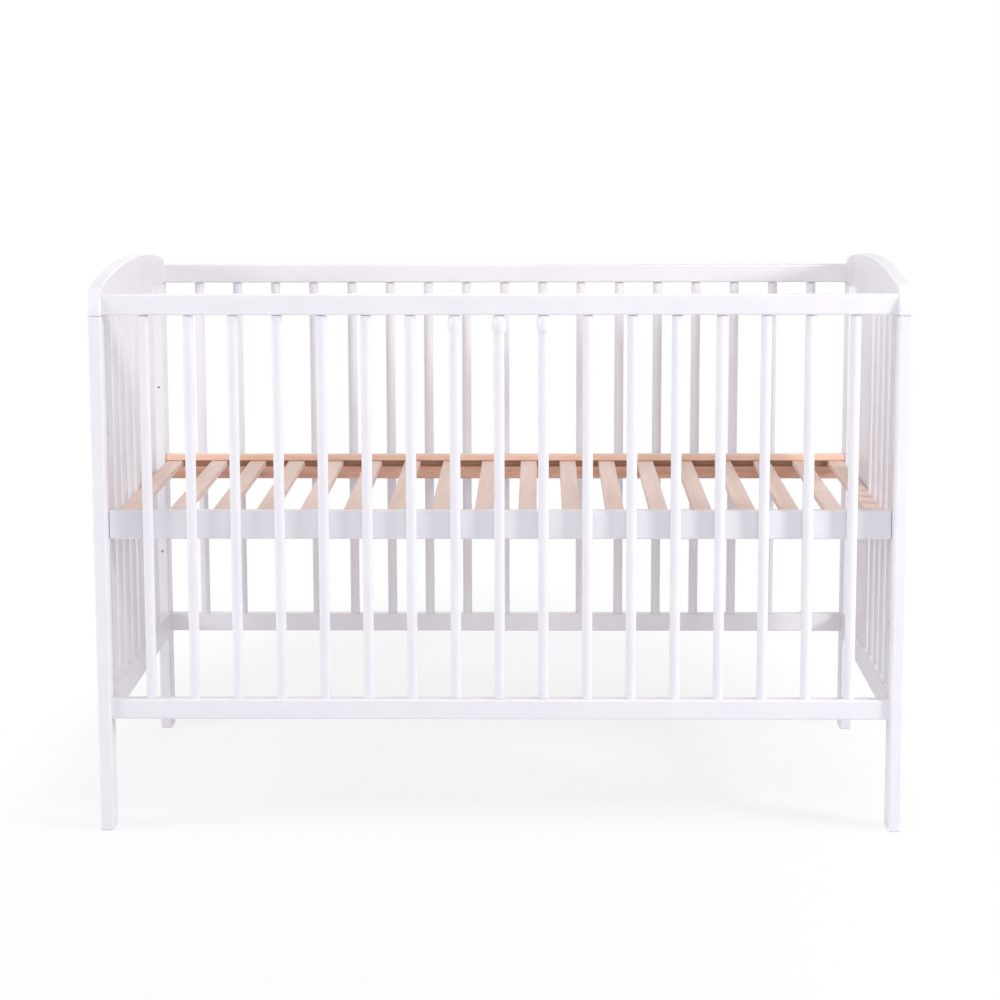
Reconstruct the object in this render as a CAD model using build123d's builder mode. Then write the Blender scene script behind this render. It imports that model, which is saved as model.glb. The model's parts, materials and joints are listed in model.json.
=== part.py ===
"""White wooden crib with a slatted base, three lift-out bars and arched end panels.

The frame stands on the floor at Z = 0, with its length along X and its front towards -Y.
All sizes are in millimetres.
"""
import os
from math import atan, pi, tan

from build123d import *

# Overall frame
INNER_LENGTH = 1200.0
CRIB_DEPTH = 700.0
POST_HEIGHT = 800.0
END_THICKNESS = 20.0
LOW_RAIL_CENTRE = 191.0

# Posts of the end panels
POST_EDGE_RADIUS = 3.0
FOOT_CHAMFER = 1.5
POST_REVEAL_HEIGHT = 1.4
POST_REVEAL_DEPTH = 2.0

# Arched top boards
TOP_BOARD_SIDE_HEIGHT = 40.0
CROWN_RISE = 26.0
SHOULDER_RADIUS = 44.0
SHOULDER_LAND = 1.0
TOP_BOARD_EDGE_RADIUS = 3.0

# Bottom rails, flat boards and round bars of the end panels
END_RAIL_HEIGHT = 44.0
END_RAIL_EDGE_RADIUS = 3.0
END_BOARD_WIDTH = 210.0
END_BOARD_THICKNESS = 14.0
END_BOARD_EDGE_RADIUS = 4.0
END_BOARD_BACK_GAP = 92.0
END_BOARD_BAR_GAP = 50.0
TONGUE_THICKNESS = 8.0
TONGUE_LENGTH = 10.0
TONGUE_INSET = 12.0
TONGUE_CLEARANCE = 0.2
TONGUE_END_GAP = 1.0
END_BAR_COUNT = 4
END_BAR_MARGIN = 54.0

# Round bars and their tenons
BAR_DIAMETER = 16.0
BAR_TOP_REVEAL = 1.5
TENON_DIAMETER = 10.0
TENON_LENGTH = 14.0
TENON_CLEARANCE = 0.1
TENON_END_GAP = 1.0

# Rails of the long sides
SIDE_RAIL_THICKNESS = 22.0
SIDE_RAIL_HEIGHT = 31.0
SIDE_RAIL_RECESS = 9.0
SIDE_RAIL_EDGE_RADIUS = 3.0
SIDE_BAR_COUNT = 17
SIDE_BAR_MARGIN = 62.0

# Lift-out bars with their collars and springs
LIFT_BAR_COUNT = 3
LIFT_TRAVEL = 10.0
RUNNING_CLEARANCE = 0.3
SOCKET_DEPTH = 8.5
LIFT_TENON_DIAMETER = 12.0
LIFT_STEM_DIAMETER = 8.0
LIFT_STEM_ENTRY = 5.0
COLLAR_HEIGHT = 24.5
COLLAR_BAR_ENTRY = 3.0
COLLAR_TOP_STEP = 0.3
COLLAR_BELLY_STEP = 2.5
COLLAR_BELLY_DROP = 13.0
COLLAR_RIM_WALL = 1.0
SPIGOT_WALL = 1.7
SPIGOT_DEPTH = 8.0
SPIGOT_CLEARANCE = 0.1
POCKET_ROOF = 5.0
POCKET_CLEARANCE = 0.5
SPRING_INSET = 0.4
SPRING_WIRE = 0.9
SPRING_TURNS = 7
SPRING_END_GAP = 0.3

# Slatted base
BASE_TOP = 498.0
BASE_END_GAP = 1.0
BASE_BAR_GAP = 2.0
BASE_RAIL_HEIGHT = 44.0
BASE_RAIL_THICKNESS = 20.0
BASE_RAIL_EDGE_RADIUS = 3.5
LIP_HEIGHT = 11.0
LIP_OVERHANG = 4.0
GROOVE_HEIGHT = 11.0
GROOVE_DEPTH = 10.0
SLAT_COUNT = 18
SLAT_WIDTH = 28.5
SLAT_END_MARGIN = 0.5
SLAT_LEFT_GAP = 50.5
SLAT_RIGHT_GAP = 34.0
SLAT_TOP_CLEARANCE = 0.5
SLAT_END_CLEARANCE = 0.5
SLAT_EDGE_RADIUS = 2.0

# Pins that carry the base, and the screws that lock them
HEIGHT_STEP = 147.0
PIN_DIAMETER = 6.0
PIN_BELOW_GROOVE = 6.0
PIN_POST_EDGE = 8.0
PIN_IN_RAIL = 30.0
PIN_POST_WALL = 5.5
PIN_CLEARANCE = 0.1
PIN_END_GAP = 0.5
LOCK_HOLE_DIAMETER = 4.0
LOCK_CLEARANCE = 0.05
LOCK_RECESS = 0.6
LOCK_SOCKET_SIZE = 2.0
LOCK_SOCKET_DEPTH = 1.8

# Bolts, barrel nuts and dowels
BOLT_DIAMETER = 6.0
BOLT_CLEARANCE = 0.3
BOLT_HEAD_DIAMETER = 13.0
BOLT_HEAD_HEIGHT = 4.0
BOLT_HEAD_RECESS = 0.5
BOLT_HEAD_CLEARANCE = 0.4
BOLT_SOCKET_SIZE = 4.0
BOLT_SOCKET_DEPTH = 2.4
BOLT_PAST_NUT = 6.0
BOLT_END_GAP = 0.5
NUT_DIAMETER = 10.0
NUT_LENGTH = 14.0
NUT_CLEARANCE = 0.1
NUT_FROM_RAIL_END = 30.0
DOWEL_DIAMETER = 8.0
DOWEL_LENGTH = 24.0
DOWEL_CLEARANCE = 0.1
DOWEL_END_GAP = 1.0
POST_DOWEL_SPACING = 28.0
RAIL_DOWEL_SPACING = 20.0

# The largest rounding of an edge, as a share of the thickness of its piece
ROUND_LIMIT = 0.45

# Places across the crib, from its front and back faces inwards
HALF_LENGTH = INNER_LENGTH / 2
HALF_DEPTH = CRIB_DEPTH / 2
END_FACE = HALF_LENGTH + END_THICKNESS
END_MIDDLE = HALF_LENGTH + END_THICKNESS / 2
SIDE_PLANE = HALF_DEPTH - SIDE_RAIL_RECESS - SIDE_RAIL_THICKNESS / 2
BASE_OUTER = SIDE_PLANE - BAR_DIAMETER / 2 - BASE_BAR_GAP
BASE_INNER = BASE_OUTER - BASE_RAIL_THICKNESS
PIN_Y = BASE_OUTER - BASE_RAIL_THICKNESS / 2
POST_INNER = PIN_Y - PIN_POST_EDGE
POST_DEPTH = HALF_DEPTH - POST_INNER
POST_MIDDLE = HALF_DEPTH - POST_DEPTH / 2
END_BOARD_MIDDLE = POST_INNER - END_BOARD_BACK_GAP - END_BOARD_WIDTH / 2

# Heights
LOW_RAIL_TOP = LOW_RAIL_CENTRE + SIDE_RAIL_HEIGHT / 2
TOP_RAIL_CENTRE = POST_HEIGHT + SIDE_RAIL_HEIGHT / 2
END_RAIL_TOP = LOW_RAIL_CENTRE + END_RAIL_HEIGHT / 2
BAR_TOP = POST_HEIGHT - BAR_TOP_REVEAL
SHOULDER_HEIGHT = POST_HEIGHT + TOP_BOARD_SIDE_HEIGHT
CROWN_HEIGHT = SHOULDER_HEIGHT + CROWN_RISE
GROOVE_TOP = BASE_TOP - LIP_HEIGHT
GROOVE_BOTTOM = GROOVE_TOP - GROOVE_HEIGHT
BASE_BOTTOM = BASE_TOP - BASE_RAIL_HEIGHT
PIN_Z = GROOVE_BOTTOM - PIN_BELOW_GROOVE
PIN_HEIGHTS = [PIN_Z - HEIGHT_STEP, PIN_Z, PIN_Z + HEIGHT_STEP]

# Fits
TENON_HOLE = TENON_DIAMETER / 2 + TENON_CLEARANCE
TENON_HOLE_DEPTH = TENON_LENGTH + TENON_END_GAP
DOWEL_HOLE = DOWEL_DIAMETER / 2 + DOWEL_CLEARANCE
DOWEL_HOLE_DEPTH = DOWEL_LENGTH / 2 + DOWEL_END_GAP
PIN_HOLE = PIN_DIAMETER / 2 + PIN_CLEARANCE
PIN_IN_POST = END_THICKNESS - PIN_POST_WALL - PIN_END_GAP
BOLT_HOLE = BOLT_DIAMETER / 2 + BOLT_CLEARANCE
BOLT_HEAD_HOLE = BOLT_HEAD_DIAMETER / 2 + BOLT_HEAD_CLEARANCE
BOLT_SEAT_DEPTH = BOLT_HEAD_RECESS + BOLT_HEAD_HEIGHT
NUT_X = HALF_LENGTH - NUT_FROM_RAIL_END
BOLT_TIP = NUT_X - NUT_DIAMETER / 2 - BOLT_PAST_NUT
STEM_HOLE = LIFT_STEM_DIAMETER / 2 + RUNNING_CLEARANCE
SPIGOT_RADIUS = STEM_HOLE + SPIGOT_WALL
POCKET_RADIUS = LIFT_STEM_DIAMETER / 2 + POCKET_CLEARANCE
POCKET_TOP = POST_HEIGHT + SIDE_RAIL_HEIGHT - POCKET_ROOF
COLLAR_BOTTOM = BAR_TOP - COLLAR_HEIGHT
LIFT_BAR_TOP = COLLAR_BOTTOM + COLLAR_BAR_ENTRY
CUP_RADIUS = BAR_DIAMETER / 2 + RUNNING_CLEARANCE
CUP_CEILING = LIFT_BAR_TOP + LIFT_TRAVEL + 2 * RUNNING_CLEARANCE
STEM_TIP = POST_HEIGHT + LIFT_STEM_ENTRY
LIFT_BAR_FOOT = LOW_RAIL_TOP + RUNNING_CLEARANCE
LIFT_TENON_TIP = LOW_RAIL_TOP - SOCKET_DEPTH + RUNNING_CLEARANCE
BASE_LENGTH = INNER_LENGTH - 2 * BASE_END_GAP
SLAT_THICKNESS = GROOVE_HEIGHT - SLAT_TOP_CLEARANCE
SLAT_LENGTH = 2 * (BASE_INNER + GROOVE_DEPTH - SLAT_END_CLEARANCE)

# Repeated places
ENDS = {"left": -1, "right": 1}
SIDES = {"front": -1, "back": 1}
CORNERS = [(x_side, y_side) for x_side in ENDS.values() for y_side in SIDES.values()]


def spread(first, last, count):
    """Evenly spaced places from the first to the last."""
    step = (last - first) / (count - 1)
    return [first + step * index for index in range(count)]


FIRST_END_BAR = -POST_INNER + END_BAR_MARGIN
LAST_END_BAR = END_BOARD_MIDDLE - END_BOARD_WIDTH / 2 - END_BOARD_BAR_GAP
END_BAR_Y = spread(FIRST_END_BAR, LAST_END_BAR, END_BAR_COUNT)
OUTER_BAR = HALF_LENGTH - SIDE_BAR_MARGIN
SIDE_BAR_X = spread(-OUTER_BAR, OUTER_BAR, SIDE_BAR_COUNT)
LEFT_BAR_COUNT = (SIDE_BAR_COUNT - LIFT_BAR_COUNT) // 2
LEFT_BAR_X = SIDE_BAR_X[:LEFT_BAR_COUNT]
LIFT_BAR_X = SIDE_BAR_X[LEFT_BAR_COUNT:LEFT_BAR_COUNT + LIFT_BAR_COUNT]
RIGHT_BAR_X = SIDE_BAR_X[LEFT_BAR_COUNT + LIFT_BAR_COUNT:]
OUTER_SLAT = BASE_LENGTH / 2 - SLAT_END_MARGIN - SLAT_WIDTH / 2
SECOND_SLAT = -OUTER_SLAT + SLAT_WIDTH + SLAT_LEFT_GAP
LAST_INNER_SLAT = OUTER_SLAT - SLAT_WIDTH - SLAT_RIGHT_GAP
SLAT_X = [-OUTER_SLAT, *spread(SECOND_SLAT, LAST_INNER_SLAT, SLAT_COUNT - 2), OUTER_SLAT]
RAIL_DOWEL_Z = [LOW_RAIL_CENTRE - RAIL_DOWEL_SPACING / 2, LOW_RAIL_CENTRE + RAIL_DOWEL_SPACING / 2]

os.makedirs("parts", exist_ok=True)


def write_piece(piece, node):
    """Label a finished piece and write it as a STEP file named after it."""
    piece.part.label = node
    export_step(piece.part, f"parts/{node}.step")


def rod_x(x, points, radius, length, mode=Mode.ADD):
    """Add or cut rods along X at (Y, Z) points, from x towards +X, or -X for a negative length."""
    with BuildSketch(Plane.YZ.offset(x)) as section:
        with Locations(*points):
            Circle(radius)
    extrude(section.sketch, amount=length, mode=mode)


def rod_y(y, points, radius, length, mode=Mode.ADD):
    """Add or cut rods along Y at (X, Z) points, from y towards +Y, or -Y for a negative length."""
    with BuildSketch(Plane.XZ.offset(-y)) as section:
        with Locations(*points):
            Circle(radius)
    extrude(section.sketch, amount=-length, mode=mode)


def rod_z(z, points, radius, length, mode=Mode.ADD):
    """Add or cut rods along Z at (X, Y) points, from z towards +Z, or -Z for a negative length."""
    with BuildSketch(Plane.XY.offset(z)) as section:
        with Locations(*points):
            Circle(radius)
    extrude(section.sketch, amount=length, mode=mode)


def tenoned_bars(points, foot):
    """Add round bars at (X, Y) points, from the foot up to the reveal under the top, with two tenons."""
    rod_z(foot, points, TENON_DIAMETER / 2, -TENON_LENGTH)
    rod_z(foot, points, BAR_DIAMETER / 2, BAR_TOP - foot)
    rod_z(BAR_TOP, points, TENON_DIAMETER / 2, BAR_TOP_REVEAL + TENON_LENGTH)


def bolt_hole(x_side, y, z):
    """Cut a bolt's way through an end panel, with a round seat for its head in the outer face."""
    rod_x(x_side * END_FACE, [(y, z)], BOLT_HOLE, -x_side * END_THICKNESS, Mode.SUBTRACT)
    rod_x(x_side * END_FACE, [(y, z)], BOLT_HEAD_HOLE, -x_side * BOLT_SEAT_DEPTH, Mode.SUBTRACT)


def post_dowel_places(x_side, y_side):
    """The (X, Y) places of the two upright dowels in the top of a post."""
    middle = y_side * POST_MIDDLE
    return [(x_side * END_MIDDLE, middle + POST_DOWEL_SPACING * step) for step in (-0.5, 0.5)]


# Posts, which are also the legs, with a shadow line cut round their tops
POST_LAND = (END_THICKNESS - 2 * POST_REVEAL_DEPTH, POST_DEPTH - 2 * POST_REVEAL_DEPTH)
for end, x_side in ENDS.items():
    for face, y_side in SIDES.items():
        post_x = x_side * END_MIDDLE
        with BuildPart() as post:
            with BuildSketch():
                with Locations((post_x, y_side * POST_MIDDLE)):
                    Rectangle(END_THICKNESS, POST_DEPTH)
            extrude(amount=POST_HEIGHT)
            fillet(post.edges().filter_by(Axis.Z), POST_EDGE_RADIUS)
            chamfer(post.faces().sort_by(Axis.Z)[0].edges(), FOOT_CHAMFER)
            with BuildSketch(Plane.XY.offset(POST_HEIGHT)):
                with Locations((post_x, y_side * POST_MIDDLE)):
                    Rectangle(END_THICKNESS, POST_DEPTH)
                    Rectangle(*POST_LAND, mode=Mode.SUBTRACT)
            extrude(amount=-POST_REVEAL_HEIGHT, mode=Mode.SUBTRACT)
            top_places = post_dowel_places(x_side, y_side)
            rod_z(POST_HEIGHT, top_places, DOWEL_HOLE, -DOWEL_HOLE_DEPTH, Mode.SUBTRACT)
            rail_places = [(post_x, dowel_z) for dowel_z in RAIL_DOWEL_Z]
            rod_y(y_side * POST_INNER, rail_places, DOWEL_HOLE, y_side * DOWEL_HOLE_DEPTH, Mode.SUBTRACT)
            pin_places = [(y_side * PIN_Y, pin_z) for pin_z in PIN_HEIGHTS]
            pin_depth = x_side * (PIN_IN_POST + PIN_END_GAP)
            rod_x(x_side * HALF_LENGTH, pin_places, PIN_HOLE, pin_depth, Mode.SUBTRACT)
            lock_places = [(post_x, pin_z) for pin_z in PIN_HEIGHTS]
            lock_depth = y_side * PIN_POST_EDGE
            rod_y(y_side * POST_INNER, lock_places, LOCK_HOLE_DIAMETER / 2, lock_depth, Mode.SUBTRACT)
            bolt_hole(x_side, y_side * SIDE_PLANE, LOW_RAIL_CENTRE)
        write_piece(post, f"{end}_{face}_post")

# Arched top boards, doweled onto the posts
EDGE_SLOPE = 2 * atan(CROWN_RISE / HALF_DEPTH)
SHOULDER_LIMIT = (TOP_BOARD_SIDE_HEIGHT - SHOULDER_LAND) / tan(pi / 4 - EDGE_SLOPE / 2)
GROOVE_SIZE = (
    TONGUE_THICKNESS + 2 * TONGUE_CLEARANCE,
    END_BOARD_WIDTH - 2 * TONGUE_INSET + 2 * TONGUE_CLEARANCE,
)
for end, x_side in ENDS.items():
    board_x = x_side * END_MIDDLE
    with BuildPart() as top_board:
        with BuildSketch(Plane.YZ.offset(board_x - END_THICKNESS / 2)) as arch:
            with BuildLine():
                Polyline(
                    (-HALF_DEPTH, SHOULDER_HEIGHT),
                    (-HALF_DEPTH, POST_HEIGHT),
                    (HALF_DEPTH, POST_HEIGHT),
                    (HALF_DEPTH, SHOULDER_HEIGHT),
                )
                ThreePointArc((HALF_DEPTH, SHOULDER_HEIGHT), (0, CROWN_HEIGHT), (-HALF_DEPTH, SHOULDER_HEIGHT))
            make_face()
            fillet(arch.vertices().group_by(Axis.Y)[-1], min(SHOULDER_RADIUS, SHOULDER_LIMIT))
        extrude(amount=END_THICKNESS)
        rim = top_board.faces().filter_by(Axis.X).edges() - top_board.faces().sort_by(Axis.Z)[0].edges()
        fillet(rim, TOP_BOARD_EDGE_RADIUS)
        for y_side in SIDES.values():
            rod_z(POST_HEIGHT, post_dowel_places(x_side, y_side), DOWEL_HOLE, DOWEL_HOLE_DEPTH, Mode.SUBTRACT)
            bolt_hole(x_side, y_side * SIDE_PLANE, TOP_RAIL_CENTRE)
        rod_z(POST_HEIGHT, [(board_x, y) for y in END_BAR_Y], TENON_HOLE, TENON_HOLE_DEPTH, Mode.SUBTRACT)
        with BuildSketch(Plane.XY.offset(POST_HEIGHT)):
            with Locations((board_x, END_BOARD_MIDDLE)):
                Rectangle(*GROOVE_SIZE)
        extrude(amount=TONGUE_LENGTH + TONGUE_END_GAP, mode=Mode.SUBTRACT)
    write_piece(top_board, f"{end}_top_board")

# Bottom rails of the end panels, doweled between the posts
for end, x_side in ENDS.items():
    rail_x = x_side * END_MIDDLE
    with BuildPart() as end_rail:
        with BuildSketch(Plane.XZ.offset(-POST_INNER)):
            with Locations((rail_x, LOW_RAIL_CENTRE)):
                Rectangle(END_THICKNESS, END_RAIL_HEIGHT)
        extrude(amount=2 * POST_INNER)
        fillet(end_rail.edges().filter_by(Axis.Y), END_RAIL_EDGE_RADIUS)
        rod_z(END_RAIL_TOP, [(rail_x, y) for y in END_BAR_Y], TENON_HOLE, -TENON_HOLE_DEPTH, Mode.SUBTRACT)
        with BuildSketch(Plane.XY.offset(END_RAIL_TOP)):
            with Locations((rail_x, END_BOARD_MIDDLE)):
                Rectangle(*GROOVE_SIZE)
        extrude(amount=-TONGUE_LENGTH - TONGUE_END_GAP, mode=Mode.SUBTRACT)
        rail_places = [(rail_x, dowel_z) for dowel_z in RAIL_DOWEL_Z]
        for y_side in SIDES.values():
            rod_y(y_side * POST_INNER, rail_places, DOWEL_HOLE, -y_side * DOWEL_HOLE_DEPTH, Mode.SUBTRACT)
    write_piece(end_rail, f"{end}_bottom_rail")

# Flat boards in the end panels, with a tongue at the top and the bottom
for end, x_side in ENDS.items():
    board_x = x_side * END_MIDDLE
    with BuildPart() as end_board:
        with BuildSketch(Plane.XY.offset(END_RAIL_TOP)):
            with Locations((board_x, END_BOARD_MIDDLE)):
                Rectangle(END_BOARD_THICKNESS, END_BOARD_WIDTH)
        extrude(amount=POST_HEIGHT - END_RAIL_TOP)
        fillet(end_board.edges().filter_by(Axis.Z), END_BOARD_EDGE_RADIUS)
        with BuildSketch(Plane.XY.offset(END_RAIL_TOP - TONGUE_LENGTH)):
            with Locations((board_x, END_BOARD_MIDDLE)):
                Rectangle(TONGUE_THICKNESS, END_BOARD_WIDTH - 2 * TONGUE_INSET)
        extrude(amount=POST_HEIGHT - END_RAIL_TOP + 2 * TONGUE_LENGTH)
    write_piece(end_board, f"{end}_end_board")

# Round bars of the end panels
for end, x_side in ENDS.items():
    for number, bar_y in enumerate(END_BAR_Y, start=1):
        with BuildPart() as end_bar:
            tenoned_bars([(x_side * END_MIDDLE, bar_y)], END_RAIL_TOP)
        write_piece(end_bar, f"{end}_end_bar_{number}")

# Top and bottom rails of the long sides
BOLT_DEPTH = HALF_LENGTH - BOLT_TIP + BOLT_END_GAP
NUT_DEPTH = SIDE_RAIL_HEIGHT / 2 + NUT_LENGTH / 2
LIFT_SOCKET = LIFT_TENON_DIAMETER / 2 + RUNNING_CLEARANCE
for face, y_side in SIDES.items():
    rail_y = y_side * SIDE_PLANE
    fixed_x = LEFT_BAR_X + RIGHT_BAR_X if face == "front" else SIDE_BAR_X
    bar_places = [(x, rail_y) for x in fixed_x]
    lift_places = [(x, rail_y) for x in LIFT_BAR_X]
    for level, centre in {"top": TOP_RAIL_CENTRE, "bottom": LOW_RAIL_CENTRE}.items():
        underside = centre - SIDE_RAIL_HEIGHT / 2
        with BuildPart() as side_rail:
            with BuildSketch(Plane.YZ.offset(-HALF_LENGTH)):
                with Locations((rail_y, centre)):
                    RectangleRounded(SIDE_RAIL_THICKNESS, SIDE_RAIL_HEIGHT, SIDE_RAIL_EDGE_RADIUS)
            extrude(amount=INNER_LENGTH)
            if level == "top":
                rod_z(POST_HEIGHT, bar_places, TENON_HOLE, TENON_HOLE_DEPTH, Mode.SUBTRACT)
            else:
                rod_z(LOW_RAIL_TOP, bar_places, TENON_HOLE, -TENON_HOLE_DEPTH, Mode.SUBTRACT)
            if face == "front" and level == "top":
                rod_z(POST_HEIGHT, lift_places, SPIGOT_RADIUS + SPIGOT_CLEARANCE, SPIGOT_DEPTH, Mode.SUBTRACT)
                rod_z(POST_HEIGHT, lift_places, POCKET_RADIUS, POCKET_TOP - POST_HEIGHT, Mode.SUBTRACT)
            if face == "front" and level == "bottom":
                rod_z(LOW_RAIL_TOP, lift_places, LIFT_SOCKET, -SOCKET_DEPTH, Mode.SUBTRACT)
            for x_side in ENDS.values():
                rod_x(x_side * HALF_LENGTH, [(rail_y, centre)], BOLT_HOLE, -x_side * BOLT_DEPTH, Mode.SUBTRACT)
                nut_place = (x_side * NUT_X, rail_y)
                rod_z(underside, [nut_place], NUT_DIAMETER / 2 + NUT_CLEARANCE, NUT_DEPTH, Mode.SUBTRACT)
        write_piece(side_rail, f"{face}_{level}_rail")

# Fixed round bars of the long sides
BAR_GROUPS = {
    "front_bars_left": (-SIDE_PLANE, LEFT_BAR_X),
    "front_bars_right": (-SIDE_PLANE, RIGHT_BAR_X),
    "back_bars": (SIDE_PLANE, SIDE_BAR_X),
}
for node, (bar_y, bar_x_places) in BAR_GROUPS.items():
    with BuildPart() as side_bars:
        tenoned_bars([(x, bar_y) for x in bar_x_places], LOW_RAIL_TOP)
    write_piece(side_bars, node)

# Lift-out bars: each stands in a shallow socket, and its stem slides up through a collar
COLLAR_TOP_RADIUS = BAR_DIAMETER / 2 + COLLAR_TOP_STEP
COLLAR_BELLY_RADIUS = BAR_DIAMETER / 2 + COLLAR_BELLY_STEP
SPIGOT_TOP = POST_HEIGHT + SPIGOT_DEPTH
SPRING_FOOT = STEM_TIP + SPRING_END_GAP + SPRING_WIRE / 2
SPRING_HEAD = POCKET_TOP - SPRING_END_GAP - SPRING_WIRE / 2
for number, bar_x in enumerate(LIFT_BAR_X, start=1):
    place = [(bar_x, -SIDE_PLANE)]
    with BuildPart() as lift_bar:
        rod_z(LIFT_TENON_TIP, place, LIFT_TENON_DIAMETER / 2, LIFT_BAR_FOOT - LIFT_TENON_TIP)
        rod_z(LIFT_BAR_FOOT, place, BAR_DIAMETER / 2, LIFT_BAR_TOP - LIFT_BAR_FOOT)
        rod_z(LIFT_BAR_TOP, place, LIFT_STEM_DIAMETER / 2, STEM_TIP - LIFT_BAR_TOP)
    write_piece(lift_bar, f"lift_bar_{number}")

    with BuildPart() as collar:
        with BuildSketch(Plane(origin=(bar_x, -SIDE_PLANE, 0), x_dir=(1, 0, 0), z_dir=(0, -1, 0))):
            with BuildLine():
                belly = Spline(
                    (COLLAR_TOP_RADIUS, BAR_TOP),
                    (COLLAR_BELLY_RADIUS, BAR_TOP - COLLAR_BELLY_DROP),
                    (CUP_RADIUS + COLLAR_RIM_WALL, COLLAR_BOTTOM),
                )
                Polyline(
                    belly @ 1,
                    (CUP_RADIUS, COLLAR_BOTTOM),
                    (CUP_RADIUS, CUP_CEILING),
                    (STEM_HOLE, CUP_CEILING),
                    (STEM_HOLE, SPIGOT_TOP),
                    (SPIGOT_RADIUS, SPIGOT_TOP),
                    (SPIGOT_RADIUS, BAR_TOP),
                    belly @ 0,
                )
            make_face()
        revolve(axis=Axis((bar_x, -SIDE_PLANE, 0), (0, 0, 1)))
    write_piece(collar, f"bar_collar_{number}")

    with BuildPart() as spring:
        with BuildLine() as coil:
            Helix(
                pitch=(SPRING_HEAD - SPRING_FOOT) / SPRING_TURNS,
                height=SPRING_HEAD - SPRING_FOOT,
                radius=(LIFT_STEM_DIAMETER - SPRING_INSET - SPRING_WIRE) / 2,
                center=(bar_x, -SIDE_PLANE, SPRING_FOOT),
            )
        with BuildSketch(Plane(origin=coil.line @ 0, z_dir=coil.line % 0)):
            Circle(SPRING_WIRE / 2)
        sweep()
    write_piece(spring, f"bar_spring_{number}")

# Long rails of the base, with a lip over a groove for the slats
for face, y_side in SIDES.items():
    with BuildPart() as base_rail:
        with BuildSketch(Plane.YZ.offset(-BASE_LENGTH / 2)):
            with BuildLine():
                Polyline(
                    (y_side * BASE_OUTER, BASE_TOP),
                    (y_side * BASE_INNER, BASE_TOP),
                    (y_side * BASE_INNER, GROOVE_TOP),
                    (y_side * (BASE_INNER + GROOVE_DEPTH), GROOVE_TOP),
                    (y_side * (BASE_INNER + GROOVE_DEPTH), GROOVE_BOTTOM),
                    (y_side * (BASE_INNER + LIP_OVERHANG), GROOVE_BOTTOM),
                    (y_side * (BASE_INNER + LIP_OVERHANG), BASE_BOTTOM),
                    (y_side * BASE_OUTER, BASE_BOTTOM),
                    close=True,
                )
            make_face()
        extrude(amount=BASE_LENGTH)
        long_edges = base_rail.edges().filter_by(Axis.X).group_by(Axis.Z)
        fillet(long_edges[0] + long_edges[-1], BASE_RAIL_EDGE_RADIUS)
        for x_side in ENDS.values():
            pin_depth = -x_side * (PIN_IN_RAIL + PIN_END_GAP)
            rod_x(x_side * BASE_LENGTH / 2, [(y_side * PIN_Y, PIN_Z)], PIN_HOLE, pin_depth, Mode.SUBTRACT)
    write_piece(base_rail, f"base_{face}_rail")

# Slats of the base, resting on the floor of the groove
SLAT_ROUND = min(SLAT_EDGE_RADIUS, ROUND_LIMIT * SLAT_THICKNESS)
for number, slat_x in enumerate(SLAT_X, start=1):
    with BuildPart() as slat:
        with BuildSketch(Plane.XZ):
            with Locations((slat_x, GROOVE_BOTTOM + SLAT_THICKNESS / 2)):
                RectangleRounded(SLAT_WIDTH, SLAT_THICKNESS, SLAT_ROUND)
        extrude(amount=SLAT_LENGTH / 2, both=True)
    write_piece(slat, f"base_slat_{number}")

# Bolts through the end panels into the side rails
RAIL_ENDS = [(x_side, y_side, z) for x_side, y_side in CORNERS for z in (LOW_RAIL_CENTRE, TOP_RAIL_CENTRE)]
with BuildPart() as rail_bolts:
    for x_side, y_side, bolt_z in RAIL_ENDS:
        bolt_axis = (y_side * SIDE_PLANE, bolt_z)
        head_x = x_side * (END_FACE - BOLT_HEAD_RECESS)
        seat_x = x_side * (END_FACE - BOLT_SEAT_DEPTH)
        rod_x(head_x, [bolt_axis], BOLT_HEAD_DIAMETER / 2, seat_x - head_x)
        rod_x(seat_x, [bolt_axis], BOLT_DIAMETER / 2, x_side * BOLT_TIP - seat_x)
        with BuildSketch(Plane.YZ.offset(head_x)):
            with Locations(bolt_axis):
                RegularPolygon(BOLT_SOCKET_SIZE / 2, 6, major_radius=False)
        extrude(amount=-x_side * BOLT_SOCKET_DEPTH, mode=Mode.SUBTRACT)
write_piece(rail_bolts, "rail_bolts")

# Barrel nuts upright in the side rails, each with a cross hole for its bolt
with BuildPart() as barrel_nuts:
    for x_side, y_side, bolt_z in RAIL_ENDS:
        rod_z(bolt_z - NUT_LENGTH / 2, [(x_side * NUT_X, y_side * SIDE_PLANE)], NUT_DIAMETER / 2, NUT_LENGTH)
        cross_x = x_side * (NUT_X + NUT_DIAMETER / 2)
        cross_hole = BOLT_DIAMETER / 2 + NUT_CLEARANCE
        rod_x(cross_x, [(y_side * SIDE_PLANE, bolt_z)], cross_hole, -x_side * NUT_DIAMETER, Mode.SUBTRACT)
write_piece(barrel_nuts, "barrel_nuts")

# Steel pins that carry the base at the middle one of its three heights
with BuildPart() as base_pins:
    for x_side, y_side in CORNERS:
        pin_start = x_side * (BASE_LENGTH / 2 - PIN_IN_RAIL)
        pin_end = x_side * (HALF_LENGTH + PIN_IN_POST)
        rod_x(pin_start, [(y_side * PIN_Y, PIN_Z)], PIN_DIAMETER / 2, pin_end - pin_start)
write_piece(base_pins, "base_pins")

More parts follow.
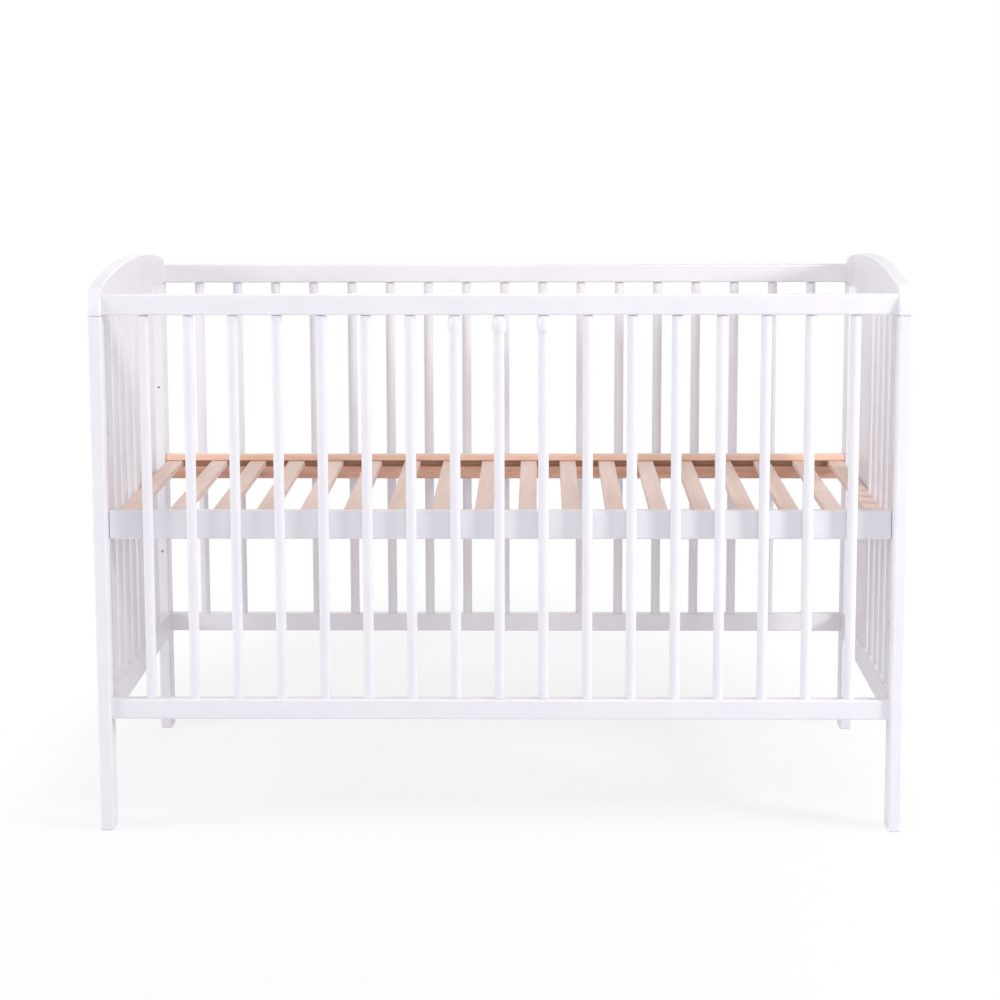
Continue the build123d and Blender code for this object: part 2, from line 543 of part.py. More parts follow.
# Socket screws that lock the pins from the posts' inner faces
with BuildPart() as lock_screws:
    for x_side, y_side in CORNERS:
        screw_axis = (x_side * END_MIDDLE, PIN_Z)
        screw_face = y_side * (POST_INNER + LOCK_RECESS)
        screw_tip = y_side * (PIN_Y - PIN_DIAMETER / 2 - LOCK_CLEARANCE)
        rod_y(screw_face, [screw_axis], LOCK_HOLE_DIAMETER / 2 - LOCK_CLEARANCE, screw_tip - screw_face)
        with BuildSketch(Plane.XZ.offset(-screw_face)):
            with Locations(screw_axis):
                RegularPolygon(LOCK_SOCKET_SIZE / 2, 6, major_radius=False)
        extrude(amount=-y_side * LOCK_SOCKET_DEPTH, mode=Mode.SUBTRACT)
write_piece(lock_screws, "lock_screws")

# Dowels between the posts and the top boards
with BuildPart() as board_dowels:
    for x_side, y_side in CORNERS:
        low_end = POST_HEIGHT - DOWEL_LENGTH / 2
        rod_z(low_end, post_dowel_places(x_side, y_side), DOWEL_DIAMETER / 2, DOWEL_LENGTH)
write_piece(board_dowels, "board_dowels")

# Dowels between the posts and the bottom rails of the end panels
with BuildPart() as rail_dowels:
    for x_side, y_side in CORNERS:
        dowel_places = [(x_side * END_MIDDLE, dowel_z) for dowel_z in RAIL_DOWEL_Z]
        start_y = y_side * (POST_INNER - DOWEL_LENGTH / 2)
        rod_y(start_y, dowel_places, DOWEL_DIAMETER / 2, y_side * DOWEL_LENGTH)
write_piece(rail_dowels, "rail_dowels")
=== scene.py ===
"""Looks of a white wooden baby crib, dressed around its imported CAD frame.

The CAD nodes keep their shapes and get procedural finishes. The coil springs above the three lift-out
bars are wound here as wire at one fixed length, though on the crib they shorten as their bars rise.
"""

import json
import logging
import math
from dataclasses import dataclass
from enum import Enum

import bpy
from mathutils import Matrix, Vector

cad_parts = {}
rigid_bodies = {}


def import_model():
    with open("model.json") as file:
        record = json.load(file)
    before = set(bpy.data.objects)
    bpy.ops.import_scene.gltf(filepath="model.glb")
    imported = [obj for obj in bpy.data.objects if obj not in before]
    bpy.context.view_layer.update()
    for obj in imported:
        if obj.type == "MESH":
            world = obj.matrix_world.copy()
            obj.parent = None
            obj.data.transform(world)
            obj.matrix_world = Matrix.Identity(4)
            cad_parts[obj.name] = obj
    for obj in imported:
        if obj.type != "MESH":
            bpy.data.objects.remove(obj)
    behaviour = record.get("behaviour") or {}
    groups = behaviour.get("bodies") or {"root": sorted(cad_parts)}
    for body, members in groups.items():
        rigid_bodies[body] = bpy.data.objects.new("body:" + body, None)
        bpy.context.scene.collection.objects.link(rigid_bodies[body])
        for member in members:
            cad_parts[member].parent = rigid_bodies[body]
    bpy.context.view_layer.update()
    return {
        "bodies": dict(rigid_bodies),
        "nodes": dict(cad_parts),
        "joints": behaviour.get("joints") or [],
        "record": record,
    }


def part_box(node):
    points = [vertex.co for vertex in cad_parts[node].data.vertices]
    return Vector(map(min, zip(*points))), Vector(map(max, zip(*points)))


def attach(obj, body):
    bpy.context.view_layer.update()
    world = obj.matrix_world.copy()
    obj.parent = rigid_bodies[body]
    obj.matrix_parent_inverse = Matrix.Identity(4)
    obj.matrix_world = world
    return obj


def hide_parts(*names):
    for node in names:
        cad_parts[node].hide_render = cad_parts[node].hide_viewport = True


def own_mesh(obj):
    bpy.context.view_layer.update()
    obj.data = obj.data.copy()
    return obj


LOG = logging.getLogger("crib")

Colour = tuple[float, float, float]
Point = tuple[float, float, float]
Pair = tuple[float, float]
Socket = bpy.types.NodeSocket

WHITE: Colour = (1.0, 1.0, 1.0)
FULL: Pair = (0.0, 1.0)


class Grain(Enum):
    """The axis that the fibres of a piece of wood run along."""

    X = 0
    Y = 1
    Z = 2


class End(Enum):
    """An end panel of the crib, by the word that its nodes' names begin with."""

    LEFT = "left"
    RIGHT = "right"


class Side(Enum):
    """A long side of the crib, by the word that its nodes' names begin with."""

    FRONT = "front"
    BACK = "back"


def seen_rays(tree: bpy.types.NodeTree) -> Socket:
    """Pick out the rays that the camera sees: straight ones, reflections and those through glass.

    Args:
        tree: the node tree of a material or of the world.

    Returns:
        An output that is 1 for the rays that the camera sees.
    """
    path = tree.nodes.new("ShaderNodeLightPath")
    seen = path.outputs["Is Camera Ray"]
    for name in ("Is Glossy Ray", "Is Transmission Ray"):
        either = tree.nodes.new("ShaderNodeMath")
        either.operation = "MAXIMUM"
        tree.links.new(seen, either.inputs[0])
        tree.links.new(path.outputs[name], either.inputs[1])
        seen = either.outputs["Value"]
    return seen


class ShaderSketch:
    """A material's node tree, with short calls for the few nodes that the finishes share."""

    def __init__(self, name: str) -> None:
        """Start an empty material.

        Args:
            name: the material's name.
        """
        self.material = bpy.data.materials.new(name)
        self.material.use_nodes = True
        self.tree = self.material.node_tree
        self.tree.nodes.clear()
        self.output = self.tree.nodes.new("ShaderNodeOutputMaterial")
        self.place = self.tree.nodes.new("ShaderNodeTexCoord").outputs["Object"]

    def add(self, kind: str, sockets: dict | None = None) -> bpy.types.Node:
        """Add a node.

        Args:
            kind: the node's Blender type.
            sockets: a value or an output to link for each named input.

        Returns:
            The new node.
        """
        node = self.tree.nodes.new(kind)
        for name, value in (sockets or {}).items():
            self.feed(node.inputs[name], value)
        return node

    def feed(self, socket: Socket, value: object) -> None:
        """Give an input its value.

        Args:
            socket: the input.
            value: an output to link, a number, a vector or a colour without alpha.
        """
        if isinstance(value, Socket):
            self.tree.links.new(value, socket)
        elif socket.type == "RGBA":
            socket.default_value = (*value, 1.0)
        else:
            socket.default_value = value

    def math(self, operation: str, *values: object) -> Socket:
        """Work out one number.

        Args:
            operation: a Math node's operation.
            values: its inputs, in order.

        Returns:
            The result's output.
        """
        node = self.tree.nodes.new("ShaderNodeMath")
        node.operation = operation
        for socket, value in zip(node.inputs, values):
            self.feed(socket, value)
        return node.outputs["Value"]

    def along(self, grain: Grain, across: float, length: float) -> Socket:
        """Scale the place on the piece so that a pattern runs with the fibres.

        Args:
            grain: the axis of the fibres.
            across: pattern units per metre across them.
            length: pattern units per metre along them.

        Returns:
            The scaled coordinates.
        """
        scale = [across] * 3
        scale[grain.value] = length
        mapping = self.add("ShaderNodeMapping", {"Vector": self.place, "Scale": scale})
        return mapping.outputs["Vector"]

    def noise(self, place: Socket, scale: float, detail: float, rough: float = 0.5) -> Socket:
        """Add a noise pattern.

        Args:
            place: the coordinates.
            scale: its scale on them.
            detail: its number of octaves.
            rough: how much the finer octaves count.

        Returns:
            The pattern, from 0 to 1.
        """
        sockets = {"Vector": place, "Scale": scale, "Detail": detail, "Roughness": rough}
        return self.add("ShaderNodeTexNoise", sockets).outputs["Fac"]

    def span(self, value: Socket, start: Pair, end: Pair, smooth: bool = False) -> Socket:
        """Map a range of values to another one, clamped.

        Args:
            value: the value.
            start: its low and high end.
            end: what they become.
            smooth: whether the change is eased at both ends.

        Returns:
            The mapped value.
        """
        node = self.tree.nodes.new("ShaderNodeMapRange")
        node.interpolation_type = "SMOOTHSTEP" if smooth else "LINEAR"
        for socket, number in zip(node.inputs, (value, *start, *end)):
            self.feed(socket, number)
        return node.outputs["Result"]

    def mix(self, factor: object, first: object, second: object, mode: str = "MIX") -> Socket:
        """Mix two colours.

        Args:
            factor: the share of the second one.
            first: a colour or an output.
            second: a colour or an output.
            mode: how they are mixed.

        Returns:
            The mixed colour.
        """
        node = self.tree.nodes.new("ShaderNodeMix")
        node.data_type = "RGBA"
        node.blend_type = mode
        colours = [socket for socket in node.inputs if socket.type == "RGBA"]
        self.feed(node.inputs[0], factor)
        self.feed(colours[0], first)
        self.feed(colours[1], second)
        return next(socket for socket in node.outputs if socket.type == "RGBA")

    def bump(self, height: Socket, depth: float, strength: float, under: Socket | None = None) -> Socket:
        """Raise the surface by a pattern.

        Args:
            height: the pattern, from 0 to 1.
            depth: how deep it is, in metres.
            strength: its share.
            under: the normal of a coarser pattern below it.

        Returns:
            The bent normal.
        """
        sockets = {"Height": height, "Distance": depth, "Strength": strength}
        if under is not None:
            sockets["Normal"] = under
        return self.add("ShaderNodeBump", sockets).outputs["Normal"]

    def close(self, surface: Socket) -> bpy.types.Material:
        """Wire the surface to the output.

        Args:
            surface: the last shader's output.

        Returns:
            The finished material.
        """
        self.tree.links.new(surface, self.output.inputs["Surface"])
        return self.material

    def principled(self, sockets: dict) -> bpy.types.Material:
        """Close the material with one Principled shader.

        Args:
            sockets: a value or an output for each named input.

        Returns:
            The finished material.
        """
        return self.close(self.add("ShaderNodeBsdfPrincipled", sockets).outputs["BSDF"])


@dataclass(frozen=True)
class PaintFinish:
    """Satin white paint, sprayed on wood whose fibres still show faintly through it."""

    name: str = "white_paint"
    tone: Colour = (0.83, 0.82, 0.85)
    shade: Colour = (0.80, 0.785, 0.825)
    mottle_scale: float = 9.0
    mottle_octaves: float = 3.0
    mottle_fineness: float = 0.55
    mottle_range: Pair = (0.3, 0.75)
    fibre_across: float = 620.0
    fibre_along: float = 5.0
    fibre_octaves: float = 4.0
    fibre_fineness: float = 0.6
    fibre_depth: float = 0.000005
    fibre_bump: float = 0.35
    peel_scale: float = 760.0
    peel_octaves: float = 2.0
    peel_fineness: float = 0.45
    peel_depth: float = 0.000006
    peel_bump: float = 0.3
    rough_fibre_share: float = 0.35
    rough_from: Pair = (0.4, 1.0)
    rough_to: Pair = (0.34, 0.47)
    gloss: float = 0.42

    def coat(self, sketch: ShaderSketch, grain: Grain) -> dict:
        """Lay the paint's patterns.

        Args:
            sketch: the material's node tree.
            grain: the axis of the fibres under the paint.

        Returns:
            What the paint feeds to each input of a Principled shader.
        """
        mottle = sketch.noise(sketch.place, self.mottle_scale, self.mottle_octaves, self.mottle_fineness)
        fibres = sketch.along(grain, self.fibre_across, self.fibre_along)
        fibre = sketch.noise(fibres, 1.0, self.fibre_octaves, self.fibre_fineness)
        peel = sketch.noise(sketch.place, self.peel_scale, self.peel_octaves, self.peel_fineness)
        tint = sketch.mix(sketch.span(mottle, self.mottle_range, FULL, True), self.tone, self.shade)
        uneven = sketch.math("MULTIPLY_ADD", fibre, self.rough_fibre_share, mottle)
        rough = sketch.span(uneven, self.rough_from, self.rough_to)
        normal = sketch.bump(fibre, self.fibre_depth, self.fibre_bump)
        normal = sketch.bump(peel, self.peel_depth, self.peel_bump, normal)
        return {"Base Color": tint, "Roughness": rough, "Normal": normal}

    def material(self, grain: Grain) -> bpy.types.Material:
        """Make the paint over wood with its fibres along an axis.

        Args:
            grain: that axis.

        Returns:
            The material.
        """
        sketch = ShaderSketch(f"{self.name}_{grain.name.lower()}")
        return sketch.principled({**self.coat(sketch, grain), "Specular IOR Level": self.gloss})


@dataclass(frozen=True)
class BeechFinish:
    """Planed beech: fine pores along the fibres, short darker rays and slow changes of tone."""

    name: str
    light: Colour
    dark: Colour
    ray: Colour
    band_across: float = 46.0
    band_along: float = 2.6
    band_octaves: float = 5.0
    band_fineness: float = 0.58
    band_range: Pair = (0.34, 0.68)
    band_share: float = 0.6
    board_share: float = 0.55
    pore_across: float = 820.0
    pore_along: float = 16.0
    pore_octaves: float = 4.0
    pore_fineness: float = 0.62
    pore_range: Pair = (0.52, 0.78)
    pore_tint: Pair = (0.0, 0.35)
    pore_depth: float = 0.00012
    pore_bump: float = 0.45
    ray_across: float = 900.0
    ray_along: float = 170.0
    ray_octaves: float = 1.0
    ray_fineness: float = 0.4
    ray_range: Pair = (0.64, 0.74)
    ray_tint: Pair = (0.0, 0.55)
    rough_from: Pair = (0.3, 0.75)
    rough_to: Pair = (0.46, 0.64)
    gloss: float = 0.3

    def timber(self, sketch: ShaderSketch, grain: Grain, tone: object = None) -> dict:
        """Lay the wood's patterns.

        Args:
            sketch: the material's node tree.
            grain: the axis of the fibres.
            tone: a number from 0 to 1 that is each board's own tone, if they differ.

        Returns:
            What the wood feeds to each input of a Principled shader.
        """
        bands = sketch.along(grain, self.band_across, self.band_along)
        band = sketch.noise(bands, 1.0, self.band_octaves, self.band_fineness)
        pores = sketch.along(grain, self.pore_across, self.pore_along)
        pore = sketch.noise(pores, 1.0, self.pore_octaves, self.pore_fineness)
        flecks = sketch.along(grain, self.ray_across, self.ray_along)
        fleck = sketch.noise(flecks, 1.0, self.ray_octaves, self.ray_fineness)
        share = sketch.span(band, self.band_range, FULL, True)
        if tone is not None:
            banded = sketch.math("MULTIPLY", share, self.band_share)
            share = sketch.math("MULTIPLY_ADD", tone, self.board_share, banded)
        tint = sketch.mix(share, self.light, self.dark)
        tint = sketch.mix(sketch.span(pore, self.pore_range, self.pore_tint), tint, self.dark)
        tint = sketch.mix(sketch.span(fleck, self.ray_range, self.ray_tint), tint, self.ray)
        rough = sketch.span(pore, self.rough_from, self.rough_to)
        normal = sketch.bump(pore, self.pore_depth, self.pore_bump)
        return {"Base Color": tint, "Roughness": rough, "Normal": normal}

    def material(self, grain: Grain) -> bpy.types.Material:
        """Make the wood with its fibres along an axis.

        Args:
            grain: that axis.

        Returns:
            The material.
        """
        sketch = ShaderSketch(f"{self.name}_{grain.name.lower()}")
        return sketch.principled({**self.timber(sketch, grain), "Specular IOR Level": self.gloss})

    def slats(self, first: float, pitch: float) -> bpy.types.Material:
        """Make the wood for a row of slats that each have their own tone.

        Args:
            first: the X of the first slat's middle.
            pitch: the step from slat to slat.

        Returns:
            The material.
        """
        sketch = ShaderSketch(f"{self.name}_row")
        place = sketch.add("ShaderNodeSeparateXYZ", {"Vector": sketch.place}).outputs["X"]
        count = sketch.math("DIVIDE", sketch.math("SUBTRACT", place, first), pitch)
        draw = sketch.tree.nodes.new("ShaderNodeTexWhiteNoise")
        draw.noise_dimensions = "1D"
        sketch.feed(draw.inputs["W"], sketch.math("ROUND", count))
        return sketch.principled(
            {**self.timber(sketch, Grain.Y, draw.outputs["Value"]), "Specular IOR Level": self.gloss}
        )


@dataclass(frozen=True)
class BaseRailFinish:
    """A base rail: painted outside, and bare wood where it faces the slats, paler along its lip as painted
    light and darker in its groove as painted shade.
    """

    paint: PaintFinish
    wood: BeechFinish
    # a paler copy of the rail's beech: painted light on the lip
    painted_light_lip_wood: BeechFinish
    name: str = "base_rail"
    paint_edge: float = 0.3065
    edge_wander: float = 0.0008
    wander_across: float = 500.0
    wander_along: float = 60.0
    wander_octaves: float = 2.0
    groove_low: float = 0.4755
    groove_high: float = 0.4875
    groove_back: float = 0.3165
    # share of painted shade inside the groove
    painted_groove_shade: float = 0.75

    def material(self) -> bpy.types.Material:
        """Make the two finishes and the line between them.

        Returns:
            The material.
        """
        sketch = ShaderSketch(self.name)
        split = sketch.add("ShaderNodeSeparateXYZ", {"Vector": sketch.place})
        inward = sketch.math("ABSOLUTE", split.outputs["Y"])
        edge = sketch.along(Grain.X, self.wander_across, self.wander_along)
        wander = sketch.noise(edge, 1.0, self.wander_octaves)
        limit = sketch.math("MULTIPLY_ADD", wander, self.edge_wander, self.paint_edge)
        bare = sketch.math("LESS_THAN", inward, limit)
        low = sketch.math("GREATER_THAN", split.outputs["Z"], self.groove_low)
        high = sketch.math("LESS_THAN", split.outputs["Z"], self.groove_high)
        deep = sketch.math("LESS_THAN", inward, self.groove_back)
        groove = sketch.math("MULTIPLY", sketch.math("MULTIPLY", low, high), deep)
        mask = sketch.math("MAXIMUM", bare, groove)
        painted = {**self.paint.coat(sketch, Grain.X), "Specular IOR Level": self.paint.gloss}
        coat = sketch.add("ShaderNodeBsdfPrincipled", painted)
        board = self.wood.timber(sketch, Grain.X)
        # Painted light: above the groove the lip takes a paler copy of the beech, standing in for the light
        # that it catches.
        lip = sketch.math("GREATER_THAN", split.outputs["Z"], self.groove_high)
        painted_light_lip_tint = self.painted_light_lip_wood.timber(sketch, Grain.X)["Base Color"]
        tint = sketch.mix(lip, board["Base Color"], painted_light_lip_tint)
        # Painted shade: the inside of the groove is mixed toward the beech's dark ray tone, standing in for
        # the shade under the lip.
        shade = sketch.math("MULTIPLY", groove, self.painted_groove_shade)
        board["Base Color"] = sketch.mix(shade, tint, self.wood.ray)
        timber = sketch.add("ShaderNodeBsdfPrincipled", {**board, "Specular IOR Level": self.wood.gloss})
        both = sketch.add("ShaderNodeMixShader", {"Fac": mask})
        sketch.feed(both.inputs[1], coat.outputs["BSDF"])
        sketch.feed(both.inputs[2], timber.outputs["BSDF"])
        return sketch.close(both.outputs["Shader"])


@dataclass(frozen=True)
class PlasticFinish:
    """Smooth moulded white plastic, a little glossier than the paint."""

    name: str = "white_plastic"
    tone: Colour = (0.84, 0.84, 0.86)
    shade: Colour = (0.81, 0.81, 0.83)
    flow_scale: float = 70.0
    flow_octaves: float = 2.0
    grit_scale: float = 2400.0
    grit_octaves: float = 2.0
    grit_depth: float = 0.00002
    grit_bump: float = 0.25
    rough_from: Pair = (0.3, 0.7)
    rough_to: Pair = (0.24, 0.34)
    gloss: float = 0.5

    def material(self) -> bpy.types.Material:
        """Make the plastic.

        Returns:
            The material.
        """
        sketch = ShaderSketch(self.name)
        flow = sketch.noise(sketch.place, self.flow_scale, self.flow_octaves)
        grit = sketch.noise(sketch.place, self.grit_scale, self.grit_octaves)
        return sketch.principled({
            "Base Color": sketch.mix(flow, self.tone, self.shade),
            "Roughness": sketch.span(flow, self.rough_from, self.rough_to),
            "Normal": sketch.bump(grit, self.grit_depth, self.grit_bump),
            "Specular IOR Level": self.gloss,
        })


@dataclass(frozen=True)
class SteelFinish:
    """Zinc-plated steel with faint turning marks and dull patches."""

    name: str = "plated_steel"
    bright: Colour = (0.66, 0.66, 0.68)
    dull: Colour = (0.50, 0.50, 0.52)
    patch_scale: float = 160.0
    patch_octaves: float = 3.0
    patch_fineness: float = 0.6
    patch_range: Pair = (0.35, 0.7)
    mark_scale: float = 3200.0
    mark_octaves: float = 2.0
    mark_depth: float = 0.00002
    mark_bump: float = 0.3
    rough_from: Pair = (0.3, 0.7)
    rough_to: Pair = (0.26, 0.44)

    def material(self) -> bpy.types.Material:
        """Make the steel.

        Returns:
            The material.
        """
        sketch = ShaderSketch(self.name)
        patch = sketch.noise(sketch.place, self.patch_scale, self.patch_octaves, self.patch_fineness)
        mark = sketch.noise(sketch.place, self.mark_scale, self.mark_octaves)
        worn = sketch.span(patch, self.patch_range, FULL, True)
        return sketch.principled({
            "Base Color": sketch.mix(worn, self.bright, self.dull),
            "Roughness": sketch.span(patch, self.rough_from, self.rough_to),
            "Normal": sketch.bump(mark, self.mark_depth, self.mark_bump),
            "Metallic": 1.0,
        })


@dataclass(frozen=True)
class FloorFinish:
    """A pale studio floor that holds a soft shadow near the crib and turns to plain white away from it."""

    name: str = "studio_floor"
    tone: Colour = (0.885, 0.882, 0.925)
    speck: Colour = (0.865, 0.862, 0.905)
    speck_scale: float = 30.0
    speck_octaves: float = 3.0
    white_near: float = 0.74
    pool_centre: Pair = (-0.087, -0.154)
    pool_stretch: Pair = (1.5, 0.65)
    fade_start: float = 0.8
    fade_end: float = 1.25

    def material(self) -> bpy.types.Material:
        """Make the floor.

        Returns:
            The material.
        """
        sketch = ShaderSketch(self.name)
        seen = seen_rays(sketch.tree)
        shift = [-middle * scale for middle, scale in zip(self.pool_centre, self.pool_stretch)]
        pool = sketch.add("ShaderNodeMapping", {
            "Vector": sketch.place,
            "Location": (*shift, 0.0),
            "Scale": (*self.pool_stretch, 1.0),
        })
        far = sketch.tree.nodes.new("ShaderNodeVectorMath")
        far.operation = "LENGTH"
        sketch.feed(far.inputs[0], pool.outputs["Vector"])
        fade = (self.fade_start, self.fade_end)
        share = sketch.span(far.outputs["Value"], fade, (self.white_near, 1.0), True)
        specks = sketch.noise(sketch.place, self.speck_scale, self.speck_octaves)
        matt = sketch.add("ShaderNodeBsdfDiffuse", {"Color": sketch.mix(specks, self.tone, self.speck)})
        white = sketch.add("ShaderNodeEmission", {"Color": WHITE, "Strength": 1.0})
        both = sketch.add("ShaderNodeMixShader", {"Fac": sketch.math("MULTIPLY", seen, share)})
        sketch.feed(both.inputs[1], matt.outputs["BSDF"])
        sketch.feed(both.inputs[2], white.outputs["Emission"])
        return sketch.close(both.outputs["Shader"])


class Workshop:
    """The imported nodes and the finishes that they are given."""

    def __init__(self, frame: dict) -> None:
        """Make every finish once.
        """
        self.nodes: dict[str, bpy.types.Object] = frame["nodes"]
        paint = PaintFinish()
        self.slat_wood = BeechFinish(
            "beech_slat",
            light=(0.82, 0.65, 0.575),
            dark=(0.71, 0.515, 0.43),
            ray=(0.54, 0.37, 0.29),
        )
        rail_wood = BeechFinish(
            "beech_rail",
            light=(0.77, 0.465, 0.33),
            dark=(0.58, 0.315, 0.213),
            ray=(0.43, 0.23, 0.15),
        )
        # A paler copy of the rail's beech, used as painted light on the lip of the base rails.
        painted_light_lip_wood = BeechFinish(
            "beech_lip_painted_light",
            light=(0.90, 0.62, 0.48),
            dark=(0.82, 0.51, 0.385),
            ray=(0.62, 0.37, 0.26),
        )
        dowel_wood = BeechFinish(
            "beech_dowel",
            light=(0.70, 0.54, 0.40),
            dark=(0.55, 0.40, 0.28),
            ray=(0.42, 0.28, 0.19),
        )
        self.paint = {grain: paint.material(grain) for grain in Grain}
        self.base_rail = BaseRailFinish(paint, rail_wood, painted_light_lip_wood).material()
        self.dowel = {grain: dowel_wood.material(grain) for grain in (Grain.Y, Grain.Z)}
        self.plastic = PlasticFinish().material()
        self.steel = SteelFinish().material()

    def dress(self, name: str, finish: bpy.types.Material) -> None:
        """Give one CAD node its finish.

        Args:
            name: the node's name.
            finish: its material.
        """
        mesh = self.nodes[name].data
        if not mesh.materials:
            mesh.materials.append(finish)
        for index in range(len(mesh.materials)):
            mesh.materials[index] = finish
        LOG.info("%s: %s", name, finish.name)


@dataclass
class EndPanel:
    """An end of the crib: two posts, an arched top board, a low rail, a flat board and round bars."""

    end: End
    bar_count: int = 4

    def dress(self, shop: Workshop) -> None:
        """Paint the panel's pieces, each with its fibres along its length.

        Args:
            shop: the nodes and finishes.
        """
        end = self.end.value
        upright = [f"{end}_front_post", f"{end}_back_post", f"{end}_end_board"]
        upright += [f"{end}_end_bar_{number}" for number in range(1, self.bar_count + 1)]
        for name in upright:
            shop.dress(name, shop.paint[Grain.Z])
        for name in (f"{end}_top_board", f"{end}_bottom_rail"):
            shop.dress(name, shop.paint[Grain.Y])


@dataclass
class LongSide:
    """A long side of the crib: a top rail, a bottom rail and the fixed round bars between them."""

    side: Side

    def dress(self, shop: Workshop) -> None:
        """Paint the side's pieces, each with its fibres along its length.

        Args:
            shop: the nodes and finishes.
        """
        side = self.side.value
        for name in (f"{side}_top_rail", f"{side}_bottom_rail"):
            shop.dress(name, shop.paint[Grain.X])
        bars = ["back_bars"] if self.side is Side.BACK else ["front_bars_left", "front_bars_right"]
        for name in bars:
            shop.dress(name, shop.paint[Grain.Z])


@dataclass
class LiftBars:
    """The three bars that lift out, with their collars and the springs in the top rail above them."""

    count: int = 3
    wire: float = 0.0009
    live_turns: float = 5.0
    closed_turns: float = 1.0
    closed_pitch: float = 1.02
    steps_per_turn: int = 28
    wire_sides: int = 10
    spring_head: float = 0.826
    travel: float = 0.010

    def coil_line(self, low: Vector, high: Vector) -> list[Vector]:
        """Work out the middle line of a spring's wire, with its end turns wound close.

        Args:
            low: the lowest corner of the spring's room.
            high: the highest corner of it.

        Returns:
            The line's points, from the bottom up.
        """
        middle = (low + high) / 2
        radius = (high.x - low.x - self.wire) / 2
        bottom = low.z + self.wire / 2
        rise = high.z - low.z - self.wire
        turns = self.live_turns + 2 * self.closed_turns
        close_rise = self.closed_turns * self.wire * self.closed_pitch
        live_rise = rise - 2 * close_rise
        points = []
        for step in range(int(turns * self.steps_per_turn) + 1):
            turn = step / self.steps_per_turn
            live = min(max(turn - self.closed_turns, 0.0), self.live_turns)
            closed = turn - live
            height = bottom + closed / self.closed_turns * close_rise + live / self.live_turns * live_rise
            angle = turn * math.tau
            across = Vector((math.cos(angle), math.sin(angle), 0.0)) * radius
            points.append(Vector((middle.x, middle.y, height)) + across)
        return points

    def wind_spring(self, name: str, low: Vector, high: Vector) -> bpy.types.Object:
        """Wind a spring's wire into a closed mesh tube.

        Args:
            name: the piece's name.
            low: the lowest corner of the spring's room.
            high: the highest corner of it.

        Returns:
            The spring.
        """
        line = self.coil_line(low, high)
        corners = []
        for index, point in enumerate(line):
            ahead = line[min(index + 1, len(line) - 1)] - line[max(index - 1, 0)]
            out = Vector((point.x - (low.x + high.x) / 2, point.y - (low.y + high.y) / 2, 0.0)).normalized()
            up = ahead.normalized().cross(out)
            for side in range(self.wire_sides):
                angle = side * math.tau / self.wire_sides
                corners.append(point + (out * math.cos(angle) + up * math.sin(angle)) * self.wire / 2)
        sides = self.wire_sides
        faces = []
        for ring in range(len(line) - 1):
            for side in range(sides):
                after = (side + 1) % sides
                faces.append((ring * sides + side, ring * sides + after,
                              (ring + 1) * sides + after, (ring + 1) * sides + side))
        faces.append(tuple(reversed(range(sides))))
        faces.append(tuple(range((len(line) - 1) * sides, len(line) * sides)))
        mesh = bpy.data.meshes.new(name)
        mesh.from_pydata(corners, [], faces)
        mesh.polygons.foreach_set("use_smooth", [True] * len(mesh.polygons))
        mesh.update()
        piece = bpy.data.objects.new(name, mesh)
        bpy.context.scene.collection.objects.link(piece)
        return piece

    def add_spring(self, number: int, shop: Workshop) -> None:
        """Put a wound spring in place of its CAD node, fixed to the frame at one length.

        Args:
            number: the bar that it belongs to.
            shop: the nodes and finishes.
        """
        node = f"bar_spring_{number}"
        low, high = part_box(node)
        piece = self.wind_spring(f"wound_spring_{number}", low, high)
        piece.data.materials.append(shop.steel)
        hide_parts(node)
        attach(piece, "frame")
        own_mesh(piece)
        LOG.info("%s: replaces %s", piece.name, node)

    def dress(self, shop: Workshop) -> None:
        """Paint the bars, finish the collars and add the springs.

        Args:
            shop: the nodes and finishes.
        """
        for number in range(1, self.count + 1):
            shop.dress(f"lift_bar_{number}", shop.paint[Grain.Z])
            shop.dress(f"bar_collar_{number}", shop.plastic)
            self.add_spring(number, shop)


@dataclass
class SlattedBase:
    """The base: two long rails with bare inner faces, and a row of beech slats in their grooves."""

    slat_count: int = 18

    def dress(self, shop: Workshop) -> None:
        """Finish the rails and the slats.

        Args:
            shop: the nodes and finishes.
        """
        for name in ("base_front_rail", "base_back_rail"):
            shop.dress(name, shop.base_rail)
        first = self.middle(1)
        pitch = (self.middle(self.slat_count) - first) / (self.slat_count - 1)
        wood = shop.slat_wood.slats(first, pitch)
        for number in range(1, self.slat_count + 1):
            shop.dress(f"base_slat_{number}", wood)

    def middle(self, number: int) -> float:
        """Give the X of a slat's middle."""
        low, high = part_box(f"base_slat_{number}")
        return (low.x + high.x) / 2


@dataclass
class Fasteners:
    """The bolts, nuts, pins, screws and dowels that hold the crib together."""

    steel: tuple[str, ...] = ("rail_bolts", "barrel_nuts", "base_pins", "lock_screws")

    def dress(self, shop: Workshop) -> None:
        """Finish the steel and the raw dowels.

        Args:
            shop: the nodes and finishes.
        """
        for name in self.steel:
            shop.dress(name, shop.steel)
        shop.dress("board_dowels", shop.dowel[Grain.Z])
        shop.dress("rail_dowels", shop.dowel[Grain.Y])


@dataclass(frozen=True)
class Softbox:
    """A square studio light that points at a place."""

    name: str
    place: Point
    target: Point
    size: float
    power: float

    def build(self) -> None:
        """Hang the light."""
        data = bpy.data.lights.new(self.name, "AREA")
        data.shape = "SQUARE"
        data.size = self.size
        data.energy = self.power
        lamp = bpy.data.objects.new(self.name, data)
        lamp.location = self.place
        lamp.rotation_euler = (Vector(self.target) - Vector(self.place)).to_track_quat("-Z", "Y").to_euler()
        bpy.context.scene.collection.objects.link(lamp)


